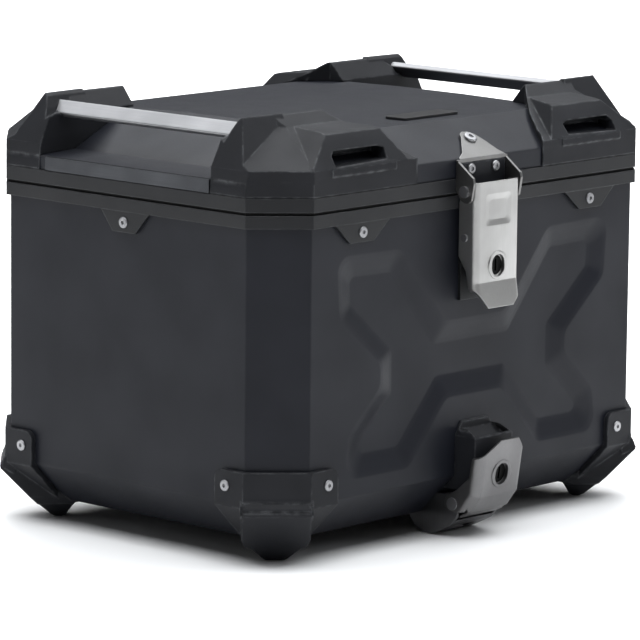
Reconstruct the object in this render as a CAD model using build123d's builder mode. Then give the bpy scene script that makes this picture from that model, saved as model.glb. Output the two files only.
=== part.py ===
"""Hard motorcycle top case: aluminium tray and lid, moulded corners, two lever latches."""
from build123d import *
import os

# ---- overall case ----
WIDTH = 410
DEPTH = 300
CORNER = 33
SEAM = 246.5
SHEET = 1.5
BODY_INSET = 3.2
FLOOR = 15
FOLD = 45
RIM_LOW = SEAM - 10.2
RIM_TOP = SEAM - 1
SHELL_TOP = SEAM - 2.5
GASKET_TOP = SEAM + 0.8
LID_RIM_LOW = SEAM + 1
LID_RIM_TOP = SEAM + 10.8
LID_INSET = 1.0
DIAG = 2 ** 0.5
RACK_LEVER_Y = -177
HINGE_Y = 155
KNUCKLE = 3.6
ORIGIN_SHIFT = -(RACK_LEVER_Y + HINGE_Y + KNUCKLE) / 2

FRONT = -DEPTH / 2
WALL_FRONT = FRONT + BODY_INSET
WALL_SIDE = WIDTH / 2 - BODY_INSET
CHAMFER_SUM = WIDTH / 2 + DEPTH / 2 - CORNER


# ---- helpers ----
def octagon_points(inset):
    """Plan outline of the case with cut corners, moved inwards all round."""
    x, y = WIDTH / 2 - inset, DEPTH / 2 - inset
    leg = CORNER - (2 - DIAG) * inset
    quarter = [(x, y - leg), (x - leg, y)]
    left = [(-px, py) for px, py in reversed(quarter)]
    rear = quarter + left
    return rear + [(-px, -py) for px, py in rear]


def slab(plane, length, points, mode=Mode.ADD, rounding=0):
    """Push a closed outline along the normal of its plane."""
    with BuildSketch(plane) as face:
        with BuildLine():
            Polyline(*points, close=True)
        make_face()
        if rounding:
            fillet(face.vertices(), rounding)
    extrude(face.sketch, amount=length, dir=plane.z_dir, mode=mode)


def slab_x(start, end, points, mode=Mode.ADD, rounding=0):
    slab(Plane.YZ.offset(start), end - start, points, mode, rounding)


def slab_y(start, end, points, mode=Mode.ADD, rounding=0):
    """Outline in X and Z pushed from y = start forwards to y = end."""
    slab(Plane.XZ.offset(-start), start - end, points, mode, rounding)


def ring(low, high, outer, inner, mode=Mode.ADD):
    """Closed band that follows the plan outline of the case."""
    with BuildSketch(Plane.XY.offset(low)) as band:
        with BuildLine():
            Polyline(*octagon_points(outer), close=True)
        make_face()
        if inner is not None:
            with BuildLine():
                Polyline(*octagon_points(inner), close=True)
            make_face(mode=Mode.SUBTRACT)
    extrude(band.sketch, amount=high - low, dir=(0, 0, 1), mode=mode)


def block(low, high, mode=Mode.ADD):
    """Box between two opposite corners."""
    centre = tuple((a + b) / 2 for a, b in zip(low, high))
    size = tuple(b - a for a, b in zip(low, high))
    with Locations(centre):
        Box(*size, mode=mode)


def rods(seats, radius, length, mode=Mode.ADD):
    """Round bars centred on the seats, each seat a point and a direction."""
    with Locations(*[Plane(origin=point, z_dir=way) for point, way in seats]):
        Cylinder(radius, length, mode=mode)


def rivets(seats, head_radius, head_height, shank, grip, tail=1.0, socket=0):
    """Flat-domed heads on formed shanks: the seat point lies on the surface under the head."""
    r, h = head_radius, head_height
    for point, way in seats:
        with BuildSketch(Plane.XZ) as half:
            with BuildLine():
                ThreePointArc((r * 0.78, h), (r * 0.95, h * 0.76), (r, h * 0.3))
                Polyline((r, h * 0.3), (r, 0), (shank, 0), (shank, -grip), (shank * 1.5, -grip),
                         (shank * 1.5, -grip - tail), (0, -grip - tail), (0, h), (r * 0.78, h))
            make_face()
        with BuildPart(mode=Mode.PRIVATE) as one:
            revolve(half.sketch, axis=Axis.Z)
            if socket:
                with BuildSketch(Plane.XY.offset(h - 1.1)) as hexagon:
                    RegularPolygon(socket, 6)
                extrude(hexagon.sketch, amount=3, mode=Mode.SUBTRACT)
        add(one.part.moved(Plane(origin=point, z_dir=way).location))


def fourfold(seats):
    """Copies of front-left seats at the other three corners."""
    turned = []
    for sx, sy in ((1, 1), (-1, 1), (1, -1), (-1, -1)):
        turned += [((p[0] * sx, p[1] * sy, p[2]), (w[0] * sx, w[1] * sy, w[2])) for p, w in seats]
    return turned


def save(builder, name):
    piece = builder.part.moved(Location((0, ORIGIN_SHIFT, 0)))
    piece.label = name
    export_step(piece, "parts/" + name + ".step")


os.makedirs("parts", exist_ok=True)

# ---- pressed X on the front and rear walls ----
PRESS_DEPTH = 4.5
FLANK = 8.0
PRESS_HALF = [(82, 205), (136, 206), (134, 175), (91, 138), (91, 115), (123, 85), (126, 65), (73, 65),
              (33, 110)]
PRESS_TOP = (36, 149)
press_outline = PRESS_HALF + [(-x, z) for x, z in reversed(PRESS_HALF)]
press_outline += [(-PRESS_TOP[0], PRESS_TOP[1]), PRESS_TOP]


def pressed_x(surface, depth, mode):
    """Soft-flanked X from the wall surface to its flat floor, on the front and the rear wall."""
    faces = []
    for share, growth, radius in ((0, FLANK, 12), (0.16, FLANK * 0.6, 11), (0.84, -FLANK * 0.6, 7.5), (1, -FLANK, 5)):
        with BuildSketch(Plane.XZ.offset(-surface - share * depth)) as step:
            with BuildLine():
                Polyline(*press_outline, close=True)
            make_face()
            offset(amount=growth, kind=Kind.INTERSECTION, mode=Mode.REPLACE)
            fillet(step.vertices(), radius)
        faces.append(step.sketch.faces()[0])
    with BuildPart(mode=Mode.PRIVATE) as press:
        loft(faces, ruled=True)
    add(press.part, mode=mode)
    add(press.part.mirror(Plane.XZ), mode=mode)


def tray(inset, low, top):
    """Solid form of the tray: straight walls above the fold, bevel below it."""
    fold = low + FOLD - FLOOR + (DIAG - 1) * (inset - BODY_INSET)
    for level, height, start, end in ((low, fold - low, inset + fold - low, inset), (fold, top - fold, inset, inset)):
        with BuildSketch(Plane.XY.offset(level)) as lower:
            with BuildLine():
                Polyline(*octagon_points(start), close=True)
            make_face()
        with BuildSketch(Plane.XY.offset(level + height)) as upper:
            with BuildLine():
                Polyline(*octagon_points(end), close=True)
            make_face()
        loft([lower.sketch.faces()[0], upper.sketch.faces()[0]], ruled=True)


# ---- rivet seats ----
TAB_RIVET = SEAM - 17
TAB_FACE = 0.8
PROTECTOR_OUT = -0.9
PROTECTOR_RIVET = 57.5
TAB_X = 121.5
front_tab_seats = [((sx * TAB_X, sy * (DEPTH / 2 - TAB_FACE), TAB_RIVET), (0, sy, 0))
                   for sx in (-1, 1) for sy in (-1, 1)]
side_tab_seats = [((sx * (WIDTH / 2 - TAB_FACE), 0, TAB_RIVET - 1), (sx, 0, 0)) for sx in (-1, 1)]
tab_seats = front_tab_seats + side_tab_seats
corner_seats = fourfold([((-155.7, FRONT + PROTECTOR_OUT, PROTECTOR_RIVET), (0, -1, 0)),
                         ((-WIDTH / 2 + PROTECTOR_OUT, -100.7, PROTECTOR_RIVET), (-1, 0, 0))])
RIVET_HOLE = 2.05

# ---- rear hinge ----
HINGE_X = 41
HINGE_HALF = 24
HINGE_PIN = 1.5
lower_leaf_seats = [((sx * HINGE_X + dx, DEPTH / 2 + 1.8, SEAM - 17), (0, 1, 0)) for sx in (-1, 1)
                    for dx in (-15, 15)]
upper_leaf_seats = [((sx * HINGE_X + dx, DEPTH / 2 + 1.8, SEAM + 17), (0, 1, 0)) for sx in (-1, 1)
                    for dx in (-15, 15)]

# ---- latch fixing seats ----
KEEPER_FACE = WALL_FRONT - 2.5
keeper_seats = [((sx * 13, KEEPER_FACE, SEAM + dz), (0, -1, 0)) for sx in (-1, 1) for dz in (-25, -50)]
BRACKET_FACE = FRONT - 1.9
bracket_seats = [((sx * 13, BRACKET_FACE, SEAM + 17), (0, -1, 0)) for sx in (-1, 1)]
HOUSING_SEATS_Z = 52
housing_seats = [((sx * 12.5, WALL_FRONT - 1.8, HOUSING_SEATS_Z), (0, -1, 0)) for sx in (-1, 1)]
base_seats = [((sx * 104, sy * 60, FLOOR - 3), (0, 0, -1)) for sx in (-1, 1) for sy in (-1, 1)]
RACK_HOLE = 3.3
RACK_PITCH = (190, 80)
rack_seats = [((sx * RACK_PITCH[0] / 2, sy * RACK_PITCH[1] / 2, FLOOR), (0, 0, -1)) for sx in (-1, 1)
              for sy in (-1, 1)]

# ---- tray ----
with BuildPart() as tray_void:
    tray(BODY_INSET + SHEET, FLOOR + SHEET, SEAM + 5)
    pressed_x(WALL_FRONT + SHEET, PRESS_DEPTH, Mode.SUBTRACT)

with BuildPart() as body_shell:
    tray(BODY_INSET, FLOOR, SHELL_TOP)
    pressed_x(WALL_FRONT, PRESS_DEPTH, Mode.SUBTRACT)
    add(tray_void.part, mode=Mode.SUBTRACT)
    rods(tab_seats, RIVET_HOLE, 30, Mode.SUBTRACT)
    rods(corner_seats, RIVET_HOLE, 30, Mode.SUBTRACT)
    rods(lower_leaf_seats, RIVET_HOLE, 30, Mode.SUBTRACT)
    rods(keeper_seats, RIVET_HOLE, 20, Mode.SUBTRACT)
    rods(housing_seats, RIVET_HOLE, 20, Mode.SUBTRACT)
    rods(base_seats, RIVET_HOLE, 30, Mode.SUBTRACT)
    rods(rack_seats, RACK_HOLE, 20, Mode.SUBTRACT)
save(body_shell, "body_shell")

# ---- rim with tabs, gasket ----
with BuildPart() as body_rim:
    ring(RIM_LOW, SHELL_TOP, 0, BODY_INSET)
    ring(SHELL_TOP, RIM_TOP, 0, 7.2)
    ring(SEAM - 13, SHELL_TOP, BODY_INSET + SHEET, 7.2)
    for sy in (-1, 1):
        y = sy * (DEPTH / 2 - TAB_FACE)
        for sx in (-1, 1):
            tab = [(sx * 94, RIM_LOW), (sx * 149, RIM_LOW), (sx * 134, SEAM - 24), (sx * 110, SEAM - 24)]
            slab_y(max(y, sy * (DEPTH / 2 - BODY_INSET)), min(y, sy * (DEPTH / 2 - BODY_INSET)), tab)
    for sx in (-1, 1):
        x = sx * (WIDTH / 2 - TAB_FACE)
        tab = [(-24.5, RIM_LOW), (22.5, RIM_LOW), (11, SEAM - 25), (-11, SEAM - 25)]
        slab_x(min(x, sx * WALL_SIDE), max(x, sx * WALL_SIDE), tab)
    rods(tab_seats, RIVET_HOLE, 30, Mode.SUBTRACT)
    rods(lower_leaf_seats, RIVET_HOLE, 30, Mode.SUBTRACT)
save(body_rim, "body_rim")

with BuildPart() as rim_rivets:
    rivets(tab_seats, 4.0, 1.1, 2.0, BODY_INSET - TAB_FACE + SHEET, socket=1.5)
save(rim_rivets, "rim_rivets")

with BuildPart() as seam_gasket:
    ring(RIM_TOP, GASKET_TOP, 1.4, 6.0)
save(seam_gasket, "seam_gasket")

# ---- corner protectors with feet ----
WING_X = -145.5
WING_Y = -90.5
WING_TOP = 68.5
DIAG_PLANE = Plane(origin=(-CHAMFER_SUM / 2 - 27.5, -CHAMFER_SUM / 2 + 27.5, 0), x_dir=(1, -1, 0),
                   z_dir=(-1, -1, 0))
SIDE_PLANE = Plane(origin=DIAG_PLANE.origin, x_dir=(-1, -1, 0), z_dir=(-1, 1, 0))

with BuildPart() as protector_skin:
    for level, height, start, end in ((11, 32.3, 31.4, PROTECTOR_OUT), (43.3, 25.2, PROTECTOR_OUT, PROTECTOR_OUT)):
        with BuildSketch(Plane.XY.offset(level)) as lower:
            with BuildLine():
                Polyline(*octagon_points(start), close=True)
            make_face()
        with BuildSketch(Plane.XY.offset(level + height)) as upper:
            with BuildLine():
                Polyline(*octagon_points(end), close=True)
            make_face()
        loft([lower.sketch.faces()[0], upper.sketch.faces()[0]], ruled=True)
    slab_y(0, -200, [(-300, 0), (WING_X, 0), (WING_X, WING_TOP), (-300, WING_TOP)], Mode.INTERSECT, 7)
    slab_x(-300, 0, [(-300, 0), (WING_Y, 0), (WING_Y, WING_TOP), (-300, WING_TOP)], Mode.INTERSECT, 7)

with BuildPart() as protector_foot:
    slab(SIDE_PLANE.offset(-24), 48, [(-20, 50), (0.9, 50), (1.3, 48.2), (0.9, 47), (3.4, 43.6), (3.9, 42.4),
                                      (3.5, 41.4), (4.7, 40.4), (4.2, 38.2), (-29.3, 4.4), (-31.6, 1.6),
                                      (-35, 0), (-39, 0), (-42, 1.4), (-50, FLOOR), (-50, 30)])
    slab(DIAG_PLANE.offset(-60), 90, [(-23.9, 60), (-23.9, 17.5), (-21.6, 12), (-16.6, 10), (-9.4, 2.6), (-6.6, 0),
                                      (6.6, 0), (9.4, 2.6), (16.6, 10), (21.6, 12), (23.9, 17.5), (23.9, 60)],
         Mode.INTERSECT)
    for edge in (-25.2, 22.2):
        slab(SIDE_PLANE.offset(edge), 3, [(-6, 49.5), (-0.6, 49.5), (2.6, 45.5), (3.4, 39.5), (-6, 34)])

with BuildPart() as tray_solid:
    tray(BODY_INSET, FLOOR, SHELL_TOP)

with BuildPart() as corner_protector:
    add(protector_skin.part)
    add(protector_foot.part)
    add(tray_solid.part, mode=Mode.SUBTRACT)
    rods(corner_seats, RIVET_HOLE, 30, Mode.SUBTRACT)
save(corner_protector, "corner_protector_front_left")

for name, planes in (("front_right", [Plane.YZ]), ("rear_left", [Plane.XZ]), ("rear_right", [Plane.YZ, Plane.XZ])):
    with BuildPart() as turned_protector:
        piece = corner_protector.part
        for about in planes:
            piece = piece.mirror(about)
        add(piece)
    save(turned_protector, "corner_protector_" + name)

with BuildPart() as protector_rivets:
    rivets(corner_seats, 4.0, 1.1, 2.0, BODY_INSET - PROTECTOR_OUT + SHEET, socket=1.5)
save(protector_rivets, "protector_rivets")

# ---- lid form ----
LID_CREASE = SEAM + 24.2
LID_EDGE_Y = 113.8
LID_EDGE_Z = SEAM + 47
LID_CROWN = SEAM + 49
LID_SHELF_X = 170
LID_SHELF_Z = SEAM + 22.5
LID_TOP_X = 113
LID_SLOPE = (LID_EDGE_Z - LID_CREASE) / (DEPTH / 2 - LID_INSET - LID_EDGE_Y)


def both_sides(points):
    return points + [(-a, b) for a, b in reversed(points)]


def lid_form(thickness, base):
    """Pressed lid: vertical bands, sloping front and rear, side shelves for the hands, flat top."""
    side = WIDTH / 2 - LID_INSET
    end = DEPTH / 2 - LID_INSET
    low = base - 20
    across = both_sides([(side, low), (side, SEAM + 21), (LID_SHELF_X, LID_SHELF_Z), (LID_TOP_X, LID_CROWN + 0.5)])
    along = both_sides([(end, low), (end, LID_CREASE), (LID_EDGE_Y, LID_EDGE_Z), (30, LID_CROWN)])
    with BuildSketch(Plane.XZ) as front_view:
        with BuildLine():
            Polyline(*across, close=True)
        make_face()
        if thickness:
            offset(amount=-thickness, kind=Kind.INTERSECTION, mode=Mode.REPLACE)
    extrude(front_view.sketch, amount=WIDTH, both=True)
    with BuildSketch(Plane.YZ) as side_view:
        with BuildLine():
            Polyline(*along, close=True)
        make_face()
        if thickness:
            offset(amount=-thickness, kind=Kind.INTERSECTION, mode=Mode.REPLACE)
    extrude(side_view.sketch, amount=WIDTH, both=True, mode=Mode.INTERSECT)
    ring(base, base + 80, LID_INSET + thickness, None, Mode.INTERSECT)


def slope_height(y):
    """Height of the lid front slope at a given y."""
    return LID_CREASE + LID_SLOPE * (DEPTH / 2 - LID_INSET + y)


TONGUE_SCREW = (4.9, -135.2)
TONGUE_RISE = 2.4
tongue_way = (0, -LID_SLOPE, 1)
tongue_seats = [((TONGUE_SCREW[0], TONGUE_SCREW[1], slope_height(TONGUE_SCREW[1]) + TONGUE_RISE), tongue_way)]

with BuildPart() as lid_void:
    lid_form(SHEET, LID_RIM_LOW)

with BuildPart() as lid_solid:
    lid_form(0, LID_RIM_TOP)

with BuildPart() as lid_shell:
    add(lid_solid.part)
    add(lid_void.part, mode=Mode.SUBTRACT)
    rods(bracket_seats + tongue_seats, RIVET_HOLE, 24, Mode.SUBTRACT)
    rods(upper_leaf_seats, RIVET_HOLE, 24, Mode.SUBTRACT)
save(lid_shell, "lid_shell")

with BuildPart() as lid_rim:
    ring(LID_RIM_LOW, LID_RIM_LOW + 1.6, 0, 7.2)
    ring(LID_RIM_LOW + 1.6, LID_RIM_TOP, 0, LID_INSET + SHEET)
    ring(LID_RIM_LOW + 1.6, SEAM + 13, LID_INSET + SHEET, 4.3)
save(lid_rim, "lid_rim")

# ---- handle bars ----
BAR_HALF = 94
bar_section = [(176.5, 57.8), (184, 48.8), (179.6, 45.8), (171.8, 54.6)]

with BuildPart() as handle_bar_left:
    slab_y(BAR_HALF, -BAR_HALF, [(-u, SEAM + h) for u, h in bar_section], rounding=1.2)
save(handle_bar_left, "handle_bar_left")

with BuildPart() as handle_bar_right:
    add(handle_bar_left.part.mirror(Plane.YZ))
save(handle_bar_right, "handle_bar_right")

# ---- lid corner covers ----
COVER_WALL = 3.0
COVER_GAP = 0.4
COVER_SLOPE = 0.584
COVER_BAND = SEAM + 29.3
cover_plan = [(67, 150), (172, 150), (205, 117), (205, 83), (111, 83), (110, 96), (103, 103), (85, 122),
              (75, 137), (71.5, 144.5)]
cover_side = [(150, 29.3), (107.4, 54.2), (98, 54.2), (84, 49), (83.5, 33)]
ridge_side = [(107.4, 54.2), (98, 61.2), (96.4, 61.7), (94.8, 61.2), (84, 49), (83.5, 33), (107.4, 33)]
block_side = [(125, 29.3), (125, 62), (96.2, 62.6), (93.6, 60.6), (90, 53), (86.5, 43), (83.5, 33)]
block_front = [(205, 10.8), (203.6, 29.3), (186.5, 62.8), (60, 62.8), (60, 10.8)]
FACET_TOP = (158.6, 102.9, 54.2)
block_way = (-0.1185, -1.845, 1)
facet_way = (-1.39, -1.39, 1)


def cover_prism(points, plane, length, shrink, mode=Mode.ADD):
    with BuildSketch(plane) as face:
        with BuildLine():
            Polyline(*points, close=True)
        make_face()
        if shrink:
            offset(amount=-shrink, kind=Kind.INTERSECTION, mode=Mode.REPLACE)
    extrude(face.sketch, amount=length, dir=plane.z_dir, mode=mode)


def cover_form(shrink):
    """Front left cover: sloping corner, crest across the front, upright block for the handle end."""
    with BuildPart() as crest:
        cover_prism([(-v, SEAM + h) for v, h in ridge_side], Plane.YZ.offset(-172), 112, shrink)
        facet = Plane(origin=(-FACET_TOP[0], -FACET_TOP[1], SEAM + FACET_TOP[2]), z_dir=facet_way).offset(-shrink)
        split(bisect_by=facet, keep=Keep.BOTTOM)
    with BuildPart() as block:
        tall = [(-v, SEAM + h) for v, h in block_side]
        low = LID_RIM_TOP + COVER_GAP - (20 if shrink else 0)
        cover_prism([(-125, low)] + tall + [(-83.5, low)], Plane.YZ.offset(-205), 55, shrink)
        wall = Plane(origin=(-FACET_TOP[0], -FACET_TOP[1], SEAM + FACET_TOP[2]), z_dir=block_way).offset(-shrink)
        split(bisect_by=wall, keep=Keep.BOTTOM)
    low = LID_RIM_TOP + COVER_GAP - (20 if shrink else 0)
    side = [(-v, SEAM + h) for v, h in cover_side]
    cover_prism([(-150, low)] + side + [(-83.5, low)], Plane.YZ.offset(-205), 145, shrink)
    out = CHAMFER_SUM / DIAG
    corner = Plane(origin=(0, 0, 0), x_dir=(-1, -1, 0), z_dir=(-1, 1, 0))
    cover_prism([(out, low), (out, COVER_BAND), (out - 43, COVER_BAND + 43 * COVER_SLOPE),
                 (out - 200, COVER_BAND + 43 * COVER_SLOPE), (out - 200, low)],
                corner.offset(-200), 400, shrink, Mode.INTERSECT)
    add(crest.part)
    add(block.part)
    front = [(-u, SEAM + h) for u, h in block_front]
    if shrink:
        front = [(-205, low)] + front[1:-1] + [(-60, low)]
    cover_prism(front, Plane.XZ, 200, shrink, Mode.INTERSECT)
    cover_prism([(-u, -v) for u, v in cover_plan], Plane.XY.offset(low), 120, shrink, Mode.INTERSECT)


eyelet_side = [(150, 29.3), (139.4, 46.8), (136.6, 51), (132, 52.2), (107.4, 54.2), (107.4, 36), (140, 29.3)]
sill_side = [(150, 23.6), (150.8, 24.2), (150.6, 28.6), (149.4, 30.4), (145, 30.4), (145, 23.6)]
SILL_X = (-153.5, -89)
slot_front = [(-97, 31.4), (-149.5, 30), (-150, 37), (-146, 40.5), (-100.8, 40.5), (-95.6, 38.5)]
SLOT_BACK = -132


def plane_through(first, second, third, outward):
    """Plane through three points whose normal faces the outward point."""
    a, b, c = (Vector(-p[0], -p[1], SEAM + p[2]) for p in (first, second, third))
    normal = (b - a).cross(c - a)
    side = Vector(-outward[0], -outward[1], SEAM + outward[2]) - a
    return Plane(origin=a, z_dir=normal if normal.dot(side) > 0 else -normal)


eyelet_cuts = [plane_through((146, 136.5, 52), (154, 118, 48), (167, 142, 35.5), (190, 140, 60)),
               plane_through((146, 136.5, 52), (154, 118, 48), (147, 107.4, 54.4), (160, 110, 80)),
               plane_through((92, 137, 51), (101, 107.4, 54.4), (79, 146, 32), (60, 140, 60))]

with BuildPart() as cover_void:
    cover_form(COVER_WALL)
    block((-156, -156, SEAM), (-84, SLOT_BACK + 6, SEAM + 80), Mode.SUBTRACT)
    block((-190, -104, SEAM + 38), (-166, -80, SEAM + 80), Mode.SUBTRACT)

with BuildPart() as eyelet_block:
    slab_x(-172, -66, [(-v, SEAM + h) for v, h in eyelet_side])
    for cut in eyelet_cuts:
        split(bisect_by=cut, keep=Keep.BOTTOM)
    slab_x(*SILL_X, [(-v, SEAM + h) for v, h in sill_side])

with BuildPart() as corner_cover:
    cover_form(0)
    add(eyelet_block.part)
    slab_y(SLOT_BACK, -160, [(u, SEAM + h) for u, h in slot_front], Mode.SUBTRACT)
    add(cover_void.part, mode=Mode.SUBTRACT)
    add(lid_solid.part, mode=Mode.SUBTRACT)
    add(handle_bar_left.part, mode=Mode.SUBTRACT)
save(corner_cover, "corner_cover_front_left")

for name, planes in (("front_right", [Plane.YZ]), ("rear_left", [Plane.XZ]), ("rear_right", [Plane.YZ, Plane.XZ])):
    with BuildPart() as turned_cover:
        piece = corner_cover.part
        for about in planes:
            piece = piece.mirror(about)
        add(piece)
    save(turned_cover, "corner_cover_" + name)

# ---- side trims and blank badge ----
with BuildPart() as side_trim_left:
    block((-WIDTH / 2 - 0.4, -83, LID_RIM_TOP + COVER_GAP), (-WIDTH / 2 + LID_INSET, 77, LID_RIM_TOP + 9.7))
save(side_trim_left, "side_trim_left")

with BuildPart() as side_trim_right:
    block((WIDTH / 2 - LID_INSET, -83, LID_RIM_TOP + COVER_GAP), (WIDTH / 2 + 0.4, 77, LID_RIM_TOP + 9.7))
save(side_trim_right, "side_trim_right")

BADGE_THICK = 1.8
with BuildPart() as badge_plate:
    with BuildSketch(Plane.XY.offset(LID_EDGE_Z)) as badge_face:
        with BuildLine():
            Polyline((-31, -85), (-27, -102), (32, -102), (28, -85), close=True)
        make_face()
        fillet(badge_face.vertices(), 3)
    extrude(badge_face.sketch, amount=4)
    top = [(-104, LID_EDGE_Z + 0.3), (-84, LID_EDGE_Z + 0.8), (-84, LID_EDGE_Z + 0.8 + BADGE_THICK),
           (-104, LID_EDGE_Z + 0.3 + BADGE_THICK)]
    slab_x(-40, 40, top, Mode.INTERSECT)
    add(lid_solid.part, mode=Mode.SUBTRACT)
save(badge_plate, "badge_plate")

# ---- top latch: lid bracket ----
EAR_IN = 24.2
EAR_OUT = 26.2
PIVOT_Y = -158.2
PIVOT_Z = SEAM + 2.4
PIN_R = 2.0
ear = [(-150, 24), (-150, 3), (-154.5, -4), (-158, -5.6), (-161.5, -5.6), (-164.3, -3.5), (-166.6, 9), (-165.6, 12.5)]
PAD_THICK = 0.8
tongue_plan = [(-24.6, -151.9), (-23.4, -150.2), (-16.5, -146.8), (-3, -133.6), (-1, -130.6), (3, -128.9),
               (8, -129.2), (13, -132.2), (17, -139), (20.3, -147.5), (23.5, -151.9)]

with BuildPart() as lid_latch_bracket:
    with BuildSketch(Plane.XY.offset(SEAM + 20)) as tongue_face:
        with BuildLine():
            Polyline(*tongue_plan, close=True)
        make_face()
    extrude(tongue_face.sketch, amount=30)
    slab_x(-30, 30, [(-151.9, SEAM + 22), (-151.9, slope_height(-151.9) + TONGUE_RISE),
                     (-125, slope_height(-125) + TONGUE_RISE), (-125, slope_height(-125)), (-149, LID_CREASE),
                     (-149, SEAM + 22)], Mode.INTERSECT)
    block((-EAR_OUT, BRACKET_FACE + PAD_THICK, SEAM + 3), (EAR_OUT, FRONT, SEAM + 24))
    block((-EAR_OUT, BRACKET_FACE, SEAM + 22.6), (EAR_OUT, BRACKET_FACE + PAD_THICK, SEAM + 24))
    block((-EAR_IN, FRONT, LID_RIM_TOP + 0.1), (EAR_IN, FRONT + LID_INSET, SEAM + 24))
    for x in (-EAR_OUT, EAR_IN):
        slab_x(x, x + EAR_OUT - EAR_IN, [(y, SEAM + z) for y, z in ear])
    rods([((0, PIVOT_Y, PIVOT_Z), (1, 0, 0))], PIN_R, 80, Mode.SUBTRACT)
    rods(bracket_seats + tongue_seats, RIVET_HOLE, 24, Mode.SUBTRACT)
save(lid_latch_bracket, "lid_latch_bracket")

with BuildPart() as latch_bracket_pad:
    block((-EAR_IN + 0.2, BRACKET_FACE, SEAM + 3.2), (EAR_IN - 0.2, BRACKET_FACE + PAD_THICK, SEAM + 21.8))
    rods(bracket_seats, RIVET_HOLE, 24, Mode.SUBTRACT)
save(latch_bracket_pad, "latch_bracket_pad")

with BuildPart() as lid_bracket_screws:
    rivets(bracket_seats, 3.8, 1.8, 2.0, 2.9 + SHEET, socket=1.7)
    rivets(tongue_seats, 5.0, 2.0, 2.0, TONGUE_RISE * 0.84 + SHEET, socket=2.1)
save(lid_bracket_screws, "lid_bracket_screws")

with BuildPart() as latch_pivot_pin:
    rods([((0, PIVOT_Y, PIVOT_Z), (1, 0, 0))], PIN_R, 2 * EAR_OUT)
    for side in (-1, 1):
        rods([((side * (EAR_OUT + 0.8), PIVOT_Y, PIVOT_Z), (side, 0, 0))], 4.2, 1.6)
save(latch_pivot_pin, "latch_pivot_pin")

# ---- top latch: lever, lock, link, keeper ----
LEVER_HALF = 23.2
LEVER_SHEET = 1.6
LEVER_Y = -167
LOCK_Z = SEAM - 50.9
LINK_Y = -156
LINK_Z = SEAM - 30.5
BEND = 4.5
lever_channel = [(-167, 20), (-167, -62), (-170.6, -86), (-140, -86), (-140, 20)]
lever_hollow = [(-165.4, 30), (-165.4, -62.2), (-169.8, -92), (-130, -92), (-130, 30)]
lever_side = [(-168, 9), (-163.2, 8.8), (-160.2, 7.8), (-156.7, 7.8), (-154.1, 6.4), (-152.7, 3.9),
              (-152.7, 0.4), (-150.7, -6), (-150.7, -44), (-157.5, -54), (-161, -70), (-165.2, -75), (-168.2, -83),
              (-175, -83), (-175, 9)]
lever_front = [(-23.3, 10), (-23.3, -66.5), (-12, -80.3), (14.5, -80.3), (23.3, -72), (23.3, 10)]
DENT_Z = -11
DENT_DEEP = 0.6
lock_plane = Plane(origin=(0, LEVER_Y, LOCK_Z), x_dir=(1, 0, 0), z_dir=(0, -1, 0))


def key_slot(plane, length, width, height, mode):
    """Upright oval on a latch face, pushed out along its normal."""
    with BuildSketch(plane) as oval:
        SlotOverall(length, width, rotation=90)
    extrude(oval.sketch, amount=height, dir=plane.z_dir, mode=mode)


RING_R = 10
LOCK_BODY_R = 9


def lever_lock(plane, depth):
    """Raised ring around the key opening and the round lock body behind it."""
    rods([(tuple(plane.origin + plane.z_dir * 0.2), tuple(plane.z_dir))], RING_R, 0.8)
    middle = plane.origin - plane.z_dir * (LEVER_SHEET - 0.4 + depth / 2)
    rods([(tuple(middle), tuple(plane.z_dir))], LOCK_BODY_R, depth + 0.8)
    key_slot(plane.offset(-LEVER_SHEET - 0.7), 15.8, 13.6, 6, Mode.SUBTRACT)
    rods([(tuple(plane.origin - plane.z_dir * (LEVER_SHEET + depth / 2 + 0.5)), tuple(plane.z_dir))], 7.0, depth,
         Mode.SUBTRACT)


def bent_channel(outer, hollow, half, bend, sheet):
    """Sheet bent into a channel: flat front, both sides turned back round a bend radius."""
    with BuildPart() as inside:
        slab_x(-half + sheet, half - sheet, hollow)
        fillet(front_edges(inside, half - sheet, hollow), bend - sheet)
    slab_x(-half, half, outer)
    with BuildPart() as form:
        slab_x(-half, half, outer)
        fillet(front_edges(form, half, outer), bend)
    add(form.part, mode=Mode.INTERSECT)
    add(inside.part, mode=Mode.SUBTRACT)


def front_edges(builder, half, outline):
    """Edges of the front face that run up the piece at both sides."""
    chosen = []
    for edge in builder.edges():
        middle = edge.center()
        front = max(y for y, z in outline[:3])
        if abs(abs(middle.X) - half) < 0.01 and middle.Y < front + 0.01 and edge.length > 10:
            chosen.append(edge)
    return chosen


with BuildPart() as lever_dent:
    dent_faces = []
    for level, width, height in ((0.5, 31, 26), (0, 27.5, 22.5), (-DENT_DEEP, 19, 14)):
        with BuildSketch(Plane.XZ.offset(-LEVER_Y + level)) as dent_step:
            with Locations((0, SEAM + DENT_Z)):
                RectangleRounded(width, height, 3)
        dent_faces.append(dent_step.sketch.faces()[0])
    loft(dent_faces, ruled=True)

with BuildPart() as latch_lever:
    bent_channel([(y, SEAM + z) for y, z in lever_channel], [(y, SEAM + z) for y, z in lever_hollow], LEVER_HALF,
                 BEND, LEVER_SHEET)
    slab_x(-40, 40, [(y, SEAM + z) for y, z in lever_side], Mode.INTERSECT)
    slab_y(-140, -180, [(x, SEAM + z) for x, z in lever_front], Mode.INTERSECT)
    add(lever_dent.part, mode=Mode.SUBTRACT)
    lever_lock(lock_plane, 6.4)
    rods([((0, PIVOT_Y, PIVOT_Z), (1, 0, 0))], PIN_R + 0.05, 80, Mode.SUBTRACT)
    rods([((0, LINK_Y, LINK_Z), (1, 0, 0))], 1.5, 80, Mode.SUBTRACT)
save(latch_lever, "latch_lever")


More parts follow.
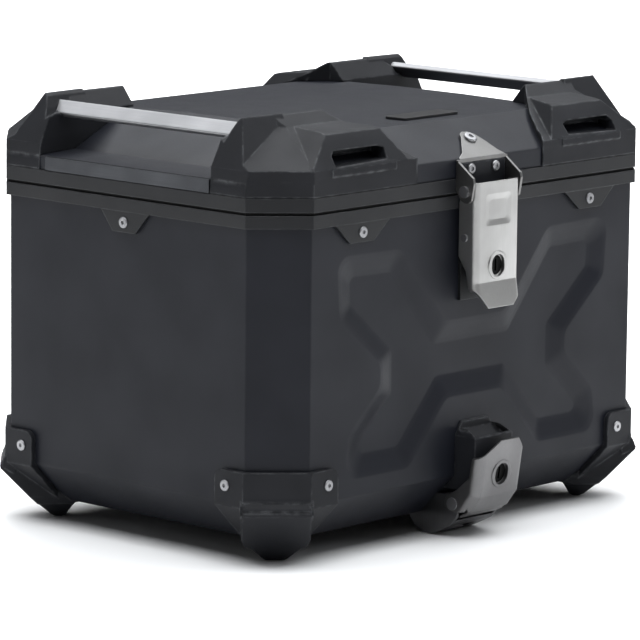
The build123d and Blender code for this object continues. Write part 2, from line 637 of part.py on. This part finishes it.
def barrel(plane, depth):
    """Key barrel with its keyway, seated behind the oval opening."""
    rods([(tuple(plane.origin - plane.z_dir * (LEVER_SHEET + 0.55 + (depth - 0.7) / 2)), tuple(plane.z_dir))],
         6.95, depth - 0.7)
    key_slot(plane.offset(-LEVER_SHEET - 2.6), 9, 1.8, 3, Mode.SUBTRACT)


with BuildPart() as latch_lock_barrel:
    barrel(lock_plane, 6.4)
save(latch_lock_barrel, "latch_lock_barrel")

with BuildPart() as latch_link_pin:
    rods([((0, LINK_Y, LINK_Z), (1, 0, 0))], 1.5, 2 * LEVER_HALF)
    for side in (-1, 1):
        rods([((side * (LEVER_HALF + 0.5), LINK_Y, LINK_Z), (side, 0, 0))], 2.8, 1.0)
save(latch_link_pin, "latch_link_pin")

with BuildPart() as latch_link:
    rods([((0, LINK_Y, LINK_Z), (1, 0, 0))], 3.2, 24)
    block((-8, LINK_Y + 0.9, SEAM - 60), (8, LINK_Y + 2.4, LINK_Z - 1))
    rods([((0, LINK_Y + 1.6, SEAM - 60), (1, 0, 0))], 1.4, 16)
    rods([((0, LINK_Y, LINK_Z), (1, 0, 0))], 1.55, 80, Mode.SUBTRACT)
save(latch_link, "latch_link")

with BuildPart() as latch_keeper:
    block((-19, KEEPER_FACE, SEAM - 76), (19, WALL_FRONT, RIM_LOW - 0.3))
    slab_x(-9, 9, [(KEEPER_FACE, SEAM - 55), (KEEPER_FACE - 2.6, SEAM - 57), (KEEPER_FACE - 2.6, SEAM - 61),
                   (KEEPER_FACE, SEAM - 61)])
    rods(keeper_seats, RIVET_HOLE, 20, Mode.SUBTRACT)
save(latch_keeper, "latch_keeper")

with BuildPart() as keeper_rivets:
    rivets(keeper_seats, 3.2, 1.0, 2.0, 2.5 + SHEET)
save(keeper_rivets, "keeper_rivets")

# ---- rack latch at the foot of the front wall ----
RACK_Y = -149.5
RACK_Z = 25.5
RACK_HALF = 24.5
housing_side = [(-146.8, 45), (-146.8, 84), (-166, 74), (-166, 40), (-161, 35), (-136.8, 35)]
housing_front = [(-20, 30), (20, 30), (20, 74), (14, 84.5), (-14, 84.5), (-20, 74)]
scoop_front = [(-18.6, 60), (18.6, 60), (18.6, 74.5), (12.8, 92), (-12.8, 92), (-18.6, 74.5)]
RIB_HALF = 17.5
scoop_side = [(-148.6, 92), (-164.6, 92), (-164.6, 68.5), (-148.6, 78)]

with BuildPart() as scoop:
    slab_x(-18.6, 18.6, scoop_side)
    slab_y(-130, -170, scoop_front, Mode.INTERSECT)

with BuildPart() as rack_latch_housing:
    slab_x(-20, 20, housing_side)
    slab_y(-130, -170, housing_front, Mode.INTERSECT)
    add(scoop.part, mode=Mode.SUBTRACT)
    slab_x(-RIB_HALF, RIB_HALF, [(-148.6, 70), (-164.6, 60), (-164.6, 40), (-148.6, 40)], Mode.SUBTRACT)
    rods(housing_seats, RIVET_HOLE, 12, Mode.SUBTRACT)
save(rack_latch_housing, "rack_latch_housing")

with BuildPart() as housing_rivets:
    rivets(housing_seats, 3.6, 1.4, 2.0, 1.8 + SHEET)
save(housing_rivets, "housing_rivets")

CHEEK_IN = 20.0
CHEEK_OUT = 22.4
cheek = [(-106, FLOOR), (-107, 11), (-112, 4.5), (-120, 0.6), (-129, 0.6), (-146, 9), (-151, 15), (-154.3, 23),
         (-154.3, 27), (-151, 30.5), (-146, 31), (-132.8, 31), (-116.8, FLOOR)]
saddle = [(-132.8, 31), (-116.8, FLOOR), (-108, FLOOR), (-108, FLOOR - 2.2), (-117.7, FLOOR - 2.2), (-134.4, 29.4)]
shoe = [(-108.5, 13), (-107, 11), (-112, 4.5), (-120, 0.6), (-129, 0.6), (-146, 9), (-148.6, 12.2), (-147, 13.2),
        (-145, 11), (-128.6, 2.8), (-120.4, 2.8), (-113.2, 6.2)]

with BuildPart() as rack_latch_bracket:
    for x in (-CHEEK_OUT, CHEEK_IN):
        slab_x(x, x + CHEEK_OUT - CHEEK_IN, cheek)
    slab_x(-CHEEK_IN, CHEEK_IN, saddle)
    slab_x(-CHEEK_IN, CHEEK_IN, shoe)
    block((-9, -141, -1), (9, -131, 10), Mode.SUBTRACT)
    rods([((0, RACK_Y, RACK_Z), (1, 0, 0))], PIN_R, 80, Mode.SUBTRACT)
save(rack_latch_bracket, "rack_latch_bracket")

with BuildPart() as rack_latch_pin:
    rods([((0, RACK_Y, RACK_Z), (1, 0, 0))], PIN_R, 2 * (RACK_HALF + 0.3))
    for side in (-1, 1):
        rods([((side * (RACK_HALF + 0.7), RACK_Y, RACK_Z), (side, 0, 0))], 4.6, 0.9)
save(rack_latch_pin, "rack_latch_pin")

RACK_BEND = 7
rack_channel = [(-178.2, 80), (-171, 32), (-159.5, 16.7), (-130, 16.7), (-130, 80)]
rack_hollow = [(-176.6, 80), (-169.4, 32.2), (-157, 15.4), (-120, 15.4), (-120, 80)]
rack_curl = [(-171.6, 36), (-171, 32), (-165, 24.2), (-158, 17.8), (-151.8, 14.8), (-151.2, 16.3), (-157, 19.2),
             (-163.8, 25.4), (-169.4, 32.2), (-170, 36)]
rack_flange = [(-180, 72), (-169.5, 72), (-168.4, 66), (-164.5, 46), (-153, 36), (-143.5, 30.6), (-141.8, 27.5),
               (-142, 23.5), (-146, 20.4), (-152, 19.6), (-164, 21), (-180, 30)]
rack_front = [(-24.5, 10), (-24.5, 60), (-4, 72), (14.5, 72), (20.5, 64.5), (24.5, 60), (24.5, 10)]
rack_normal = (0, -40, -6)
rack_lock_plane = Plane(origin=(0, -173.3, 47.4), x_dir=(1, 0, 0), z_dir=rack_normal)
RACK_LOCK_DEPTH = 4.0

with BuildPart() as rack_latch_lever:
    bent_channel(rack_channel, rack_hollow, RACK_HALF, RACK_BEND, LEVER_SHEET)
    slab_x(-40, 40, rack_flange, Mode.INTERSECT)
    slab_y(-130, -185, rack_front, Mode.INTERSECT)
    slab_x(-22.7, 22.7, [(-150, 10), (-150, 21), (-158, 24.5), (-161.2, 24), (-161.2, 20.5), (-170, 18), (-170, 10)],
           Mode.SUBTRACT)
    slab_x(-19.3, 19.3, rack_curl)
    lever_lock(rack_lock_plane, RACK_LOCK_DEPTH)
    rods([((0, RACK_Y, RACK_Z), (1, 0, 0))], PIN_R + 0.05, 80, Mode.SUBTRACT)
save(rack_latch_lever, "rack_latch_lever")

with BuildPart() as rack_lock_barrel:
    barrel(rack_lock_plane, RACK_LOCK_DEPTH)
save(rack_lock_barrel, "rack_lock_barrel")

# ---- rear hinges ----
REAR = DEPTH / 2
KNUCKLE_X = [(-24, -14.2), (-4.8, 4.8), (14.2, 24)]
UPPER_X = [(-13.9, -5.1), (5.1, 13.9)]

with BuildPart() as hinge_leaves_lower:
    for side in (-1, 1):
        x = side * HINGE_X
        block((x - HINGE_HALF, REAR, SEAM - 27), (x + HINGE_HALF, REAR + 1.8, SEAM - 2.8))
        block((x - HINGE_HALF, REAR - BODY_INSET, SEAM - 27), (x + HINGE_HALF, REAR, RIM_LOW - 0.3))
        for low, high in KNUCKLE_X:
            block((x + low, REAR + 0.2, SEAM - 4.6), (x + high, HINGE_Y, SEAM))
            rods([((x + (low + high) / 2, HINGE_Y, SEAM), (1, 0, 0))], KNUCKLE, high - low)
        rods([((x, HINGE_Y, SEAM), (1, 0, 0))], HINGE_PIN, 60, Mode.SUBTRACT)
    rods(lower_leaf_seats, RIVET_HOLE, 24, Mode.SUBTRACT)
save(hinge_leaves_lower, "hinge_leaves_lower")

with BuildPart() as hinge_leaves_upper:
    for side in (-1, 1):
        x = side * HINGE_X
        block((x - HINGE_HALF, REAR, SEAM + 2.8), (x + HINGE_HALF, REAR + 1.8, SEAM + 24))
        block((x - HINGE_HALF, REAR - LID_INSET, LID_RIM_TOP + 0.1), (x + HINGE_HALF, REAR, SEAM + 24))
        for low, high in UPPER_X:
            block((x + low, REAR + 0.2, SEAM), (x + high, HINGE_Y, SEAM + 4.6))
            rods([((x + (low + high) / 2, HINGE_Y, SEAM), (1, 0, 0))], KNUCKLE, high - low)
        rods([((x, HINGE_Y, SEAM), (1, 0, 0))], HINGE_PIN + 0.05, 60, Mode.SUBTRACT)
    rods(upper_leaf_seats, RIVET_HOLE, 24, Mode.SUBTRACT)
save(hinge_leaves_upper, "hinge_leaves_upper")

with BuildPart() as hinge_pins:
    for side in (-1, 1):
        rods([((side * HINGE_X, HINGE_Y, SEAM), (1, 0, 0))], HINGE_PIN, 2 * HINGE_HALF)
        for end in (-1, 1):
            rods([((side * HINGE_X + end * (HINGE_HALF + 0.6), HINGE_Y, SEAM), (1, 0, 0))], 2.6, 1.2)
save(hinge_pins, "hinge_pins")

with BuildPart() as hinge_rivets_lower:
    rivets(lower_leaf_seats, 3.4, 1.3, 2.0, 1.8 + BODY_INSET + SHEET)
save(hinge_rivets_lower, "hinge_rivets_lower")

with BuildPart() as hinge_rivets_upper:
    rivets(upper_leaf_seats, 3.4, 1.3, 2.0, 1.8 + LID_INSET + SHEET)
save(hinge_rivets_upper, "hinge_rivets_upper")

# ---- base plate with rear hooks ----
with BuildPart() as base_plate:
    block((-115, -70, FLOOR - 3), (115, 75, FLOOR))
    block((-70, -40, FLOOR - 4), (70, 40, FLOOR), Mode.SUBTRACT)
    for side in (-1, 1):
        x = side * 80
        block((x - 14, 75, FLOOR - 3), (x + 14, 98, FLOOR))
        block((x - 14, 94, 4), (x + 14, 98, FLOOR))
        block((x - 14, 82, 4), (x + 14, 98, 7))
    rods(base_seats, RIVET_HOLE, 20, Mode.SUBTRACT)
    rods(rack_seats, RACK_HOLE, 20, Mode.SUBTRACT)
save(base_plate, "base_plate")

with BuildPart() as base_screws:
    rivets(base_seats, 4.5, 2.0, 2.0, 3 + SHEET, socket=1.9)
save(base_screws, "base_screws")
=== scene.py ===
import bpy, math
from mathutils import Matrix, Vector

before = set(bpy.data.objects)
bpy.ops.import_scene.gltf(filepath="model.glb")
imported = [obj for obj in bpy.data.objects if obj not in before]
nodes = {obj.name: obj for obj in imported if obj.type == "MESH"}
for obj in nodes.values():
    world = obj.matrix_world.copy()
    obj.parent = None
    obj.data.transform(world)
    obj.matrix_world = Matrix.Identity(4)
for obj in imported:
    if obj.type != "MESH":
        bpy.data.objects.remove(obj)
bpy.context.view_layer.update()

# ---------- camera ----------
# estimated from the photograph's perspective
AZIMUTH = math.radians(-47.29)
ELEVATION = math.radians(9.51)
ROLL = math.radians(0.58)
CAMERA_AT = Vector((-2.5301, -2.3241, 0.7128))
LENS_MM = 269.9
SENSOR_MM = 36
VIEW_DEPTH = 60


def make_camera():
    back = Vector((math.sin(AZIMUTH) * math.cos(ELEVATION), -math.cos(AZIMUTH) * math.cos(ELEVATION),
                   math.sin(ELEVATION)))
    right = (-back).cross(Vector((0, 0, 1))).normalized()
    up = right.cross(-back)
    turned_right = right * math.cos(ROLL) + up * math.sin(ROLL)
    turned_up = up * math.cos(ROLL) - right * math.sin(ROLL)
    data = bpy.data.cameras.new("camera")
    data.lens = LENS_MM
    data.sensor_width = SENSOR_MM
    data.clip_end = VIEW_DEPTH
    cam = bpy.data.objects.new("camera", data)
    bpy.context.scene.collection.objects.link(cam)
    basis = Matrix((turned_right, turned_up, back)).transposed()
    cam.matrix_world = Matrix.Translation(CAMERA_AT) @ basis.to_4x4()
    bpy.context.scene.camera = cam


# ---------- light ----------
WORLD_STRENGTH = 0.08
# name: place, target, size in m, power in W, colour, seen in reflections
LIGHTS = {
    "top": ((0.5, 0.4, 3.2), (0.5, 0.4, 0), (6.0, 6.0), 400, (0.96, 0.98, 1.0), True),
    "far_floor": ((3.4, 3.4, 3.4), (3.4, 3.4, 0), (4.0, 4.0), 260, (1, 1, 1), False),
    "right_front": ((2.0, -1.8, 1.6), (0, 0, 0.2), (1.5, 1.5), 9, (0.93, 0.96, 1.0), True),
    "left_rear": ((-2.2, 2.0, 0.6), (0, 0, 0.15), (1.2, 1.2), 2.5, (0.9, 0.94, 1.0), True),
}
FLOOR_HALF = 9
FLOOR_GREY = (0.93, 0.93, 0.93, 1)
FLOOR_ROUGHNESS = 0.9


def area_light(name, place, target, size, power, colour, mirrored):
    data = bpy.data.lights.new(name, "AREA")
    data.shape = "RECTANGLE"
    data.size, data.size_y = size
    data.energy = power
    data.color = colour
    lamp = bpy.data.objects.new(name, data)
    bpy.context.scene.collection.objects.link(lamp)
    lamp.location = place
    lamp.visible_glossy = mirrored
    aim = Vector(target) - Vector(place)
    lamp.rotation_euler = aim.to_track_quat("-Z", "Y").to_euler()


def make_light():
    world = bpy.data.worlds.new("studio")
    bpy.context.scene.world = world
    world.use_nodes = True
    background = world.node_tree.nodes["Background"]
    background.inputs["Color"].default_value = (1, 1, 1, 1)
    background.inputs["Strength"].default_value = WORLD_STRENGTH
    for name, settings in LIGHTS.items():
        area_light(name, *settings)
    bpy.context.scene.view_settings.view_transform = "Standard"


def make_floor():
    mesh = bpy.data.meshes.new("floor")
    half = FLOOR_HALF
    corners = [(-half, -half, 0), (half, -half, 0), (half, half, 0), (-half, half, 0)]
    mesh.from_pydata(corners, [], [(0, 1, 2, 3)])
    floor = bpy.data.objects.new("floor", mesh)
    bpy.context.scene.collection.objects.link(floor)
    mat = bpy.data.materials.new("floor_paper")
    mat.use_nodes = True
    shader = mat.node_tree.nodes["Principled BSDF"]
    shader.inputs["Base Color"].default_value = FLOOR_GREY
    shader.inputs["Roughness"].default_value = FLOOR_ROUGHNESS
    shader.inputs["Specular IOR Level"].default_value = 0.0
    mesh.materials.append(mat)


# ---------- materials ----------
MIX_COLOUR_A, MIX_COLOUR_B, MIX_COLOUR_OUT = 6, 7, 2
BLOTCH = 0.05
WEAR_SCALE = 140.0
BEVEL_SAMPLES = 4
EDGE_FLAT, EDGE_TURNED = 0.99, 0.88
BROAD_BAND = (0.35, 0.65)
LINE_BAND = (0.3, 0.7)
GLOSS_BAND = (0.3, 0.7)
RAGGED_BAND = (0.4, 0.65)
LINE_SHADE = 0.35
GLOSS_LOW, GLOSS_HIGH = 0.92, 1.08
LENGTHWISE_Y = (2600, 30, 2600)
LENGTHWISE_Y_FINE = (2600, 18, 2600)
LENGTHWISE_Z = (2200, 2200, 60)


class Nodes:
    """Short way of adding and joining shader nodes."""

    def __init__(self, name):
        self.mat = bpy.data.materials.new(name)
        self.mat.use_nodes = True
        self.tree = self.mat.node_tree
        self.shader = self.tree.nodes["Principled BSDF"]

    def add(self, kind, settings=None, **inputs):
        node = self.tree.nodes.new(kind)
        for key, value in (settings or {}).items():
            setattr(node, key, value)
        for key, value in inputs.items():
            socket = node.inputs[key.replace("_", " ")]
            if isinstance(value, bpy.types.NodeSocket):
                self.tree.links.new(value, socket)
            else:
                socket.default_value = value
        return node

    def link(self, source, target):
        self.tree.links.new(source, target)


def remap(n, source, low, high, from_low=0.0, from_high=1.0):
    node = n.add("ShaderNodeMapRange", Value=source)
    for key, value in (("From Min", from_low), ("From Max", from_high), ("To Min", low), ("To Max", high)):
        node.inputs[key].default_value = value
    return node.outputs["Result"]


def blend_colour(n, factor, first, second):
    node = n.tree.nodes.new("ShaderNodeMix")
    node.data_type = "RGBA"
    n.link(factor, node.inputs["Factor"])
    for value, index in ((first, MIX_COLOUR_A), (second, MIX_COLOUR_B)):
        if isinstance(value, bpy.types.NodeSocket):
            n.link(value, node.inputs[index])
        else:
            node.inputs[index].default_value = (*value, 1)
    return node.outputs[MIX_COLOUR_OUT]


def surface(name, colour, shade, rough, spread, metallic=0.0, specular=0.5, grain=0.0006, depth=0.00003,
            edge=0.0006, wear_colour=None, wear=0.5, brushed=None):
    """Moulded, coated or metal surface: blotchy colour, varied gloss, fine grain, rounded and worn edges."""
    n = Nodes(name)
    place = n.add("ShaderNodeTexCoord").outputs["Object"]
    broad = n.add("ShaderNodeTexNoise", Vector=place, Scale=1 / BLOTCH, Detail=4.0).outputs["Fac"]
    fine = n.add("ShaderNodeTexNoise", Vector=place, Scale=1 / grain, Detail=3.0).outputs["Fac"]
    colour_out = blend_colour(n, remap(n, broad, 0, 1, *BROAD_BAND), colour, shade)
    height = fine
    if brushed:
        stretch = n.add("ShaderNodeMapping", Vector=place)
        stretch.inputs["Scale"].default_value = brushed
        lines = n.add("ShaderNodeTexNoise", Vector=stretch.outputs["Vector"], Scale=1.0, Detail=2.0)
        height = lines.outputs["Fac"]
        colour_out = blend_colour(n, remap(n, height, 0, LINE_SHADE, *LINE_BAND), colour_out, shade)
    if wear_colour:
        flat = n.add("ShaderNodeNewGeometry").outputs["Normal"]
        rounded = n.add("ShaderNodeBevel", {"samples": BEVEL_SAMPLES}, Radius=edge).outputs["Normal"]
        facing = n.add("ShaderNodeVectorMath", {"operation": "DOT_PRODUCT"})
        n.link(flat, facing.inputs[0])
        n.link(rounded, facing.inputs[1])
        ragged = n.add("ShaderNodeTexNoise", Vector=place, Scale=WEAR_SCALE, Detail=5.0).outputs["Fac"]
        worn = n.add("ShaderNodeMath", {"operation": "MULTIPLY"})
        n.link(remap(n, facing.outputs["Value"], 1, 0, EDGE_TURNED, EDGE_FLAT), worn.inputs[0])
        n.link(remap(n, ragged, 0, wear, *RAGGED_BAND), worn.inputs[1])
        colour_out = blend_colour(n, worn.outputs[0], colour_out, wear_colour)
    n.link(colour_out, n.shader.inputs["Base Color"])
    mixed = n.add("ShaderNodeMath", {"operation": "MULTIPLY"})
    n.link(remap(n, broad, rough - spread, rough + spread, *GLOSS_BAND), mixed.inputs[0])
    n.link(remap(n, height, GLOSS_LOW, GLOSS_HIGH, *GLOSS_BAND), mixed.inputs[1])
    n.link(mixed.outputs[0], n.shader.inputs["Roughness"])
    n.shader.inputs["Metallic"].default_value = metallic
    n.shader.inputs["Specular IOR Level"].default_value = specular
    soft = n.add("ShaderNodeBevel", {"samples": BEVEL_SAMPLES}, Radius=edge)
    bump = n.add("ShaderNodeBump", Height=height, Distance=depth, Normal=soft.outputs["Normal"])
    bump.inputs["Strength"].default_value = 1.0
    n.link(bump.outputs["Normal"], n.shader.inputs["Normal"])
    return n.mat


# key: what surface() is given; a value left out keeps its default
LOOKS = {
    "coat": dict(
        name="satin_black_coat", colour=(0.0092, 0.0102, 0.0148), shade=(0.0075, 0.0084, 0.0122),
        rough=0.46, spread=0.05, specular=0.2, grain=0.0009, depth=0.000012, edge=0.0025,
        wear_colour=(0.03, 0.031, 0.034), wear=0.2
    ),
    "lid_coat": dict(
        name="satin_lid_coat", colour=(0.0095, 0.0105, 0.0152), shade=(0.007, 0.008, 0.0118),
        rough=0.44, spread=0.05, specular=0.22, grain=0.0009, depth=0.000012, edge=0.003,
        wear_colour=(0.03, 0.031, 0.034), wear=0.2
    ),
    "rim": dict(
        name="rim_coat", colour=(0.0115, 0.012, 0.0135), shade=(0.009, 0.0095, 0.011), rough=0.42,
        spread=0.05, specular=0.24, grain=0.0008, depth=0.00001, edge=0.0012,
        wear_colour=(0.09, 0.092, 0.1), wear=0.5
    ),
    "nylon": dict(
        name="grained_nylon", colour=(0.0125, 0.0132, 0.0162), shade=(0.0088, 0.0094, 0.0116),
        rough=0.55, spread=0.06, specular=0.2, grain=0.0007, depth=0.00007, edge=0.002,
        wear_colour=(0.16, 0.165, 0.175), wear=0.6
    ),
    "rubber": dict(
        name="gasket_rubber", colour=(0.004, 0.004, 0.004), shade=(0.006, 0.006, 0.006), rough=0.8,
        spread=0.05, specular=0.2
    ),
    "bar": dict(
        name="anodised_aluminium", colour=(0.36, 0.36, 0.37), shade=(0.3, 0.302, 0.31), rough=0.5,
        spread=0.02, metallic=1.0, edge=0.0008, brushed=LENGTHWISE_Y, depth=0.00001
    ),
    "trim": dict(
        name="brushed_dark_trim", colour=(0.085, 0.088, 0.095), shade=(0.055, 0.057, 0.062),
        rough=0.48, spread=0.03, metallic=1.0, edge=0.0004, brushed=LENGTHWISE_Y_FINE,
        depth=0.00001
    ),
    "steel": dict(
        name="brushed_stainless", colour=(0.45, 0.447, 0.44), shade=(0.36, 0.357, 0.35),
        rough=0.36, spread=0.07, metallic=1.0, edge=0.0009, brushed=LENGTHWISE_Z, depth=0.000012
    ),
    "bracket": dict(
        name="bracket_steel", colour=(0.2, 0.198, 0.195), shade=(0.16, 0.158, 0.155), rough=0.4,
        spread=0.07, metallic=1.0, edge=0.0007, brushed=LENGTHWISE_Z, depth=0.000012,
        wear_colour=(0.5, 0.5, 0.5), wear=0.4
    ),
    "dark_steel": dict(
        name="black_zinc", colour=(0.035, 0.036, 0.038), shade=(0.02, 0.021, 0.022), rough=0.4,
        spread=0.08, metallic=0.8, edge=0.0006, wear_colour=(0.12, 0.12, 0.12), wear=0.4
    ),
    "grey_steel": dict(
        name="grey_bracket", colour=(0.16, 0.16, 0.165), shade=(0.11, 0.11, 0.115), rough=0.42,
        spread=0.07, metallic=1.0, edge=0.0008, brushed=LENGTHWISE_Z, depth=0.000012
    ),
    "rack_steel": dict(
        name="rack_lever_steel", colour=(0.2, 0.198, 0.2), shade=(0.15, 0.148, 0.15), rough=0.4,
        spread=0.07, metallic=1.0, edge=0.0009, brushed=LENGTHWISE_Z, depth=0.000012
    ),
    "rivet": dict(
        name="satin_fastener", colour=(0.36, 0.36, 0.37), shade=(0.26, 0.26, 0.27), rough=0.4,
        spread=0.08, metallic=1.0, edge=0.0004
    ),
    "badge": dict(
        name="blank_badge", colour=(0.02, 0.02, 0.022), shade=(0.013, 0.013, 0.014), rough=0.3,
        spread=0.04, specular=0.6, edge=0.0006, wear_colour=(0.2, 0.2, 0.2), wear=0.3
    ),
    # key barrels: the near-black colour is painted shade, standing in for the shade inside the recessed key
    # opening
    "lock": dict(
        name="dark_lock", colour=(0.012, 0.012, 0.012), shade=(0.008, 0.008, 0.008), rough=0.5,
        spread=0.06, metallic=1.0, edge=0.0004
    ),
}


# finish of a CAD node by its name, then by how its name starts
FINISHES = {
    "body_shell": "coat",
    "lid_shell": "lid_coat",
    "body_rim": "rim",
    "lid_rim": "rim",
    "seam_gasket": "rubber",
    "latch_bracket_pad": "nylon",
    "badge_plate": "badge",
    "latch_lever": "steel",
    "lid_latch_bracket": "bracket",
    "rack_latch_lever": "rack_steel",
    "rack_latch_bracket": "grey_steel",
    "latch_link": "dark_steel",
    "rack_latch_housing": "nylon",
    "latch_keeper": "dark_steel",
    "base_plate": "dark_steel",
}
FAMILY_FINISHES = {
    "corner_": "nylon",
    "handle_bar": "bar",
    "side_trim": "trim",
    "hinge_leaves": "dark_steel",
}


def finish_for(name):
    """Material key for a CAD node; what neither table lists is a key barrel, near-black as painted shade, or
    a rivet, pin or screw.
    """
    if name in FINISHES:
        return FINISHES[name]
    for start, key in FAMILY_FINISHES.items():
        if name.startswith(start):
            return key
    return "lock" if "barrel" in name else "rivet"


def dress_nodes(materials):
    for name, obj in nodes.items():
        obj.data.materials.clear()
        obj.data.materials.append(materials[finish_for(name)])


make_camera()
make_light()
make_floor()
dress_nodes({key: surface(**look) for key, look in LOOKS.items()})
